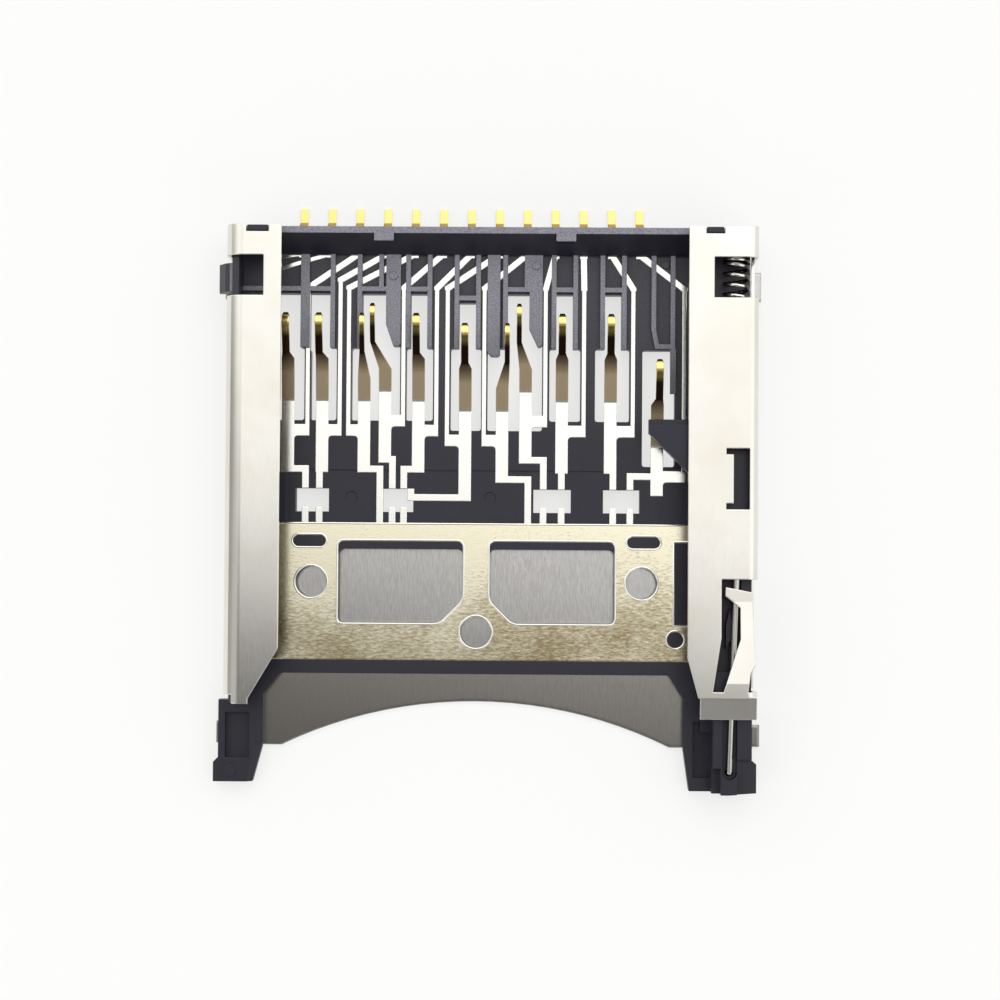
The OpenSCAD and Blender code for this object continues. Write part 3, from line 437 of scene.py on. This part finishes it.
def floor_paper(colour):
    """White paper under the socket. Most of its brightness is its own for the camera and for reflections, so
    that it stays pale and the socket's shadow stays soft."""
    material, tree, place = start_material("floor_paper")
    rays = add_node(tree, "ShaderNodeLightPath").outputs
    seen = add_node(tree, "ShaderNodeMath", {0: rays["Is Camera Ray"], 1: rays["Is Glossy Ray"]},
                    operation="MAXIMUM")
    level = add_node(tree, "ShaderNodeMath", {0: seen.outputs[0], 1: FLOOR_GLOW}, operation="MULTIPLY")
    fibre = add_node(tree, "ShaderNodeTexNoise", {"Vector": place, "Scale": 1 / (PAPER_FIBRE * MM),
                                                  "Detail": 2.0})
    bump = add_node(tree, "ShaderNodeBump", {"Height": fibre.outputs["Fac"], "Strength": 0.05,
                                             "Distance": RELIEF["paper"] * MM})
    lit = tuple((1 - FLOOR_GLOW) * channel for channel in colour)
    close_material(tree, {"Base Color": rgba(lit), "Roughness": ROUGHNESS["paper"], "Specular IOR Level": 0.0,
                          "Emission Color": rgba(colour), "Emission Strength": level.outputs[0],
                          "Normal": bump.outputs[0]})
    return material


# Brightness of the room from the front horizon (-1) over the top (0) to the rear horizon (1), as shares of
# the softbox: a dark front with one paler band, a pale ceiling from just before the top, and the softbox
ROOM = ((-1.0, 0.5), (-0.93, 0.45), (-0.85, 0.12), (-0.45, 0.03), (-0.3, 0.26), (-0.12, 0.05),
        (-0.077, 0.04), (-0.037, 0.4), (0.008, 0.77), (0.12, 0.7), (0.2, 1.0), (0.8, 1.0), (0.93, 0.6),
        (1.0, 0.5))
# The same from the top (0) to the horizon at either side (1)
WALLS = ((0.0, 0.3), (0.25, 0.4), (0.4, 0.76), (0.75, 0.8), (0.9, 0.62), (1.0, 0.55))
# Share of the walls' light that a curtain in front of the socket lets through, from front to rear
CURTAIN = ((-1.0, 1.0), (-0.4, 1.0), (-0.25, 0.4), (-0.095, 0.4), (0.03, 1.0), (1.0, 1.0))
# Sideways part of a direction at which the walls begin, and at which nothing is left of the ceiling
WALL_EDGE = (0.2, 0.45)


def brightness(tree, place, stops):
    """Brightness along a line from 0 to 1, as a ramp through stops."""
    ramp = add_node(tree, "ShaderNodeValToRGB", {"Fac": place})
    elements = ramp.color_ramp.elements
    for where, _ in stops[1:-1]:
        elements.new(where)
    for element, (_, share) in zip(elements, stops):
        element.color = rgba((share,) * 3)
    return ramp.outputs["Color"]


def studio_room(softbox, turn):
    """Light of the studio: a wide softbox behind the socket and a little to the right, a pale ceiling, and
    walls at the sides, which a curtain shades in front."""
    world = bpy.data.worlds.new("studio_room")
    world.use_nodes = True
    tree = world.node_tree
    tree.nodes.clear()
    ray = add_node(tree, "ShaderNodeTexCoord").outputs["Generated"]
    turned = add_node(tree, "ShaderNodeVectorRotate", {"Vector": ray, "Angle": turn},
                      rotation_type="Z_AXIS")
    way = add_node(tree, "ShaderNodeSeparateXYZ", {"Vector": turned.outputs[0]}).outputs
    along = add_node(tree, "ShaderNodeMapRange", {"Value": way["Y"], "From Min": -1.0})
    aside = add_node(tree, "ShaderNodeMath", {0: way["X"]}, operation="ABSOLUTE")
    near_wall = add_node(tree, "ShaderNodeMapRange", {"Value": aside.outputs[0], "From Min": WALL_EDGE[0],
                                                      "From Max": WALL_EDGE[1]},
                         interpolation_type="SMOOTHSTEP")
    ceiling, curtain = (brightness(tree, along.outputs[0], [((y + 1) / 2, share) for y, share in stops])
                        for stops in (ROOM, CURTAIN))
    walls = add_node(tree, "ShaderNodeMix", {"Factor": 1.0, "A": brightness(tree, aside.outputs[0], WALLS),
                                             "B": curtain}, data_type="RGBA", blend_type="MULTIPLY")
    tone = add_node(tree, "ShaderNodeMix", {"Factor": near_wall.outputs[0], "A": ceiling,
                                            "B": walls.outputs["Result"]}, data_type="RGBA")
    glow = add_node(tree, "ShaderNodeBackground", {"Color": tone.outputs["Result"], "Strength": softbox})
    add_node(tree, "ShaderNodeOutputWorld", {"Surface": glow.outputs[0]})
    return world


def dress(names, material):
    """Give the frame's pieces a material in place of what they came with."""
    for name in names:
        slots = NODES[name].data.materials
        slots.clear()
        slots.append(material)


def mesh_piece(name, points, faces, material):
    """A new smooth piece at the origin, with its place in its mesh."""
    mesh = bpy.data.meshes.new(name)
    mesh.from_pydata(points.reshape(-1, 3), [], faces.reshape(-1, faces.shape[-1]).tolist())
    mesh.shade_smooth()
    mesh.materials.append(material)
    piece = bpy.data.objects.new(name, mesh)
    bpy.context.scene.collection.objects.link(piece)
    return piece


def tube(path, radius, sides):
    """Round tube along a path: each ring is the circle of that radius in the plane of the path's normal and
    binormal. The ends are closed by a last ring of no radius. Returns points and quads."""
    forward = np.gradient(path, axis=0)
    forward /= np.linalg.norm(forward, axis=1, keepdims=True)
    out = np.cross(forward, (0.0, 1.0, 0.0))
    out /= np.linalg.norm(out, axis=1, keepdims=True)
    up = np.cross(out, forward)
    turn = np.linspace(0, 2 * np.pi, sides, endpoint=False)[None, :, None]
    rings = path[:, None] + radius * (np.cos(turn) * out[:, None] + np.sin(turn) * up[:, None])
    ends = [np.repeat(path[i][None, None], sides, axis=1) for i in (0, -1)]
    points = np.concatenate([ends[0], rings, ends[1]])
    row = np.arange(points.shape[0] - 1)[:, None] * sides
    side = np.arange(sides)[None, :]
    after = (side + 1) % sides
    faces = np.stack([row + side, row + sides + side, row + sides + after, row + after], axis=-1)
    return points, faces


def coil_path(low, high, wire, turns, dead_turns, steps):
    """Centre line of a compression spring along Y: a circle that climbs by one wire a turn in the dead turns
    at each end, and evenly in between."""
    angle = np.linspace(0, turns, turns * steps + 1)
    span = high[1] - low[1]
    climb = np.interp(angle, (0, dead_turns, turns - dead_turns, turns),
                      (0, dead_turns * wire, span - (1 + dead_turns) * wire, span - wire))
    radius = (high[0] - low[0] - wire) / 2
    middle = (low + high) / 2
    return np.stack([middle[0] + radius * np.cos(2 * np.pi * angle), low[1] + wire / 2 + climb,
                     middle[2] + radius * np.sin(2 * np.pi * angle)], axis=1)


def flat_outline(name, front_of):
    """Outline of a CAD node's flat top faces before a Y, without its front edge: the points, the edges with
    the metal on their left, and at each point the mitre that takes both edges' lines inwards by one unit. The
    mitre is nothing at the ends of the front edge."""
    mesh = NODES[name].data
    corners = np.empty(len(mesh.vertices) * 3)
    mesh.vertices.foreach_get("co", corners)
    faces = np.empty(len(mesh.polygons) * 3, dtype=int)
    mesh.polygons.foreach_get("vertices", faces)
    grid, merged = np.unique(np.round(corners.reshape(-1, 3) / NANOMETRE), axis=0, return_inverse=True)
    points = grid * NANOMETRE
    faces = merged.reshape(-1)[faces].reshape(-1, 3)
    first, second, third = (points[faces[:, corner]] for corner in (0, 1, 2))
    sides = np.cross(second - first, third - first)
    flat = sides[:, 2] > LEVEL * np.linalg.norm(sides, axis=1)
    top = faces[flat & (points[faces][:, :, 1].max(axis=1) < front_of)]
    edges = np.concatenate([top[:, [0, 1]], top[:, [1, 2]], top[:, [2, 0]]])
    key = edges[:, 0] * len(points) + edges[:, 1]
    edges = edges[~np.isin(key, edges[:, 1] * len(points) + edges[:, 0])]
    along = points[edges[:, 1], :2] - points[edges[:, 0], :2]
    along /= np.linalg.norm(along, axis=1, keepdims=True)
    inward = np.zeros((2, len(points), 2))
    for end in (0, 1):
        inward[end, edges[:, end]] = np.stack([-along[:, 1], along[:, 0]], axis=1)
    mitre = inward.sum(axis=0) / (1 + (inward[0] * inward[1]).sum(axis=1, keepdims=True))
    front = points[:, 1] < points[edges, 1].min() + NANOMETRE
    mitre[front] = 0
    return points, edges[~front[edges].all(axis=1)], mitre


def raised_rim(points, edges, mitre, width, rise, steps):
    """Closed rim along an outline: its section is an arch, the parabola that is highest in the middle of the
    width, over a flat underside sunk into the plate. It ends where the mitre is nothing. Returns points
    and quads."""
    across = np.linspace(0, 1, steps)
    lift = rise * (4 * across * (1 - across) * (1 + RIM_SINK) - RIM_SINK)
    used, place = np.unique(edges, return_inverse=True)
    place = place.reshape(-1, 2)
    rows = np.repeat(points[used][:, None], steps, axis=1)
    rows[:, :, :2] += mitre[used][:, None] * (width * across)[None, :, None]
    rows[:, :, 2] += lift * mitre[used].any(axis=1, keepdims=True)
    step = np.arange(steps)[None, :]
    after = (step + 1) % steps
    first, last = (place[:, end, None] * steps for end in (0, 1))
    faces = np.stack([first + step, last + step, last + after, first + after], axis=-1)
    return rows, faces


class SOCKET_OT_mouldings(bpy.types.Operator):
    """Give the housing and the slider their moulded plastics"""
    bl_idname = "socket.mouldings"
    bl_label = "Finish mouldings"

    def execute(self, context):
        finish = context.scene.socket_finish
        dress(["housing"], moulded_plastic("moulded_housing", finish.plastic, finish.plastic_flow,
                                           finish.plastic_sheen, ROUGHNESS["housing"]))
        dress(["eject_slider"], moulded_plastic("moulded_slider", finish.slider, finish.plastic,
                                                finish.slider, ROUGHNESS["slider"]))
        return {"FINISHED"}


class SOCKET_OT_shell(bpy.types.Operator):
    """Give the folded shell its rolled steel"""
    bl_idname = "socket.shell"
    bl_label = "Finish shell"

    def execute(self, context):
        dress(["shell"], rolled_stainless(context.scene.socket_finish))
        return {"FINISHED"}


class SOCKET_OT_lead_frame(bpy.types.Operator):
    """Give the ground plate and the contacts their plating"""
    bl_idname = "socket.lead_frame"
    bl_label = "Finish lead frame"

    def execute(self, context):
        dress(LEAD_FRAME, plated_bronze(context.scene.socket_finish))
        return {"FINISHED"}


class SOCKET_OT_plate_rims(bpy.types.Operator):
    """Raise the rims that the punch left round the ground plate's openings"""
    bl_idname = "socket.plate_rims"
    bl_label = "Raise plate rims"

    def execute(self, context):
        sizes = context.scene.socket_rims
        outline = flat_outline("ground_frame", PLATE_REAR * MM)
        points, faces = raised_rim(*outline, sizes.width, sizes.rise, RIM_STEPS)
        piece = mesh_piece("plate_rims", points, faces, coined_rim(context.scene.socket_finish.lead))
        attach(piece, "socket")
        return {"FINISHED"}


class SOCKET_OT_latch_pin(bpy.types.Operator):
    """Give the latch pin its bright wire"""
    bl_idname = "socket.latch_pin"
    bl_label = "Finish latch pin"

    def execute(self, context):
        finish = context.scene.socket_finish
        # Painted highlight: the pin's top in the shell's steel colour
        dress(["latch_pin"], drawn_wire("bright_wire", finish.wire, finish.steel, PIN_HIGHLIGHT,
                                        ROUGHNESS["pin"]))
        return {"FINISHED"}


class SOCKET_OT_eject_spring(bpy.types.Operator):
    """Wind the eject spring at rest, in place of its part; in the socket the slider squeezes it as it goes in
    """
    bl_idname = "socket.eject_spring"
    bl_label = "Wind eject spring"

    def execute(self, context):
        sizes, finish = context.scene.socket_spring, context.scene.socket_finish
        low, high = (np.array(corner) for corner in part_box("eject_spring"))
        path = coil_path(low, high, sizes.wire, sizes.turns, sizes.dead_turns, COIL_STEPS)
        points, faces = tube(path, sizes.wire / 2, WIRE_SIDES)
        top = high[2] / MM
        # Painted highlight on the tops of the turns, over a wire painted dark
        highlight = ("Z", top - SPRING_HIGHLIGHT[0], top - SPRING_HIGHLIGHT[1])
        wire = drawn_wire("spring_wire", finish.spring, finish.spring_highlight, highlight, ROUGHNESS["spring"])
        piece = mesh_piece("wound_spring", points, faces, wire)
        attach(piece, "socket")
        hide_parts("eject_spring")
        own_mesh(piece)
        return {"FINISHED"}


class SOCKET_OT_stage(bpy.types.Operator):
    """Set the floor, the soft light and the camera"""
    bl_idname = "socket.stage"
    bl_label = "Set stage"

    def execute(self, context):
        scene, stage = context.scene, context.scene.socket_stage
        corners = FLOOR_HALF * np.array([(-1, -1, 0), (1, -1, 0), (1, 1, 0), (-1, 1, 0)])
        floor = mesh_piece("floor", corners, np.array([[0, 1, 2, 3]]), floor_paper(stage.floor))

        scene.world = studio_room(stage.softbox, stage.turn)

        lens = bpy.data.cameras.new("camera")
        lens.lens = stage.lens * lens.sensor_width
        lens.clip_start = MM
        camera = bpy.data.objects.new("camera", lens)
        camera.location, camera.rotation_euler = stage.eye, stage.tilt
        scene.collection.objects.link(camera)
        scene.camera = camera
        scene.view_settings.view_transform = "Standard"
        return {"FINISHED"}


OPERATORS = (SOCKET_OT_mouldings, SOCKET_OT_shell, SOCKET_OT_lead_frame, SOCKET_OT_plate_rims,
             SOCKET_OT_latch_pin, SOCKET_OT_eject_spring, SOCKET_OT_stage)


class SOCKET_PT_panel(bpy.types.Panel):
    """Lists the socket's finishes and pieces"""
    bl_idname = "SOCKET_PT_panel"
    bl_label = "Card Socket"
    bl_space_type = "VIEW_3D"
    bl_region_type = "UI"
    bl_category = "Card Socket"

    def draw(self, context):
        for operator in OPERATORS:
            self.layout.operator(operator.bl_idname)
        for name in GROUPS:
            group = getattr(context.scene, name)
            for setting in group.__annotations__:
                self.layout.prop(group, setting)


GROUPS = {"socket_finish": SocketFinish, "socket_spring": SocketSpring, "socket_rims": SocketRims,
          "socket_stage": SocketStage}
CLASSES = (*GROUPS.values(), *OPERATORS, SOCKET_PT_panel)


def register():
    for kind in CLASSES:
        bpy.utils.register_class(kind)
    for name, group in GROUPS.items():
        setattr(bpy.types.Scene, name, bpy.props.PointerProperty(type=group))


def unregister():
    for name in GROUPS:
        delattr(bpy.types.Scene, name)
    for kind in reversed(CLASSES):
        bpy.utils.unregister_class(kind)


def main():
    register()
    bpy.ops.socket.mouldings()
    bpy.ops.socket.shell()
    bpy.ops.socket.lead_frame()
    bpy.ops.socket.plate_rims()
    bpy.ops.socket.latch_pin()
    bpy.ops.socket.eject_spring()
    bpy.ops.socket.stage()


if __name__ == "__main__":
    main()
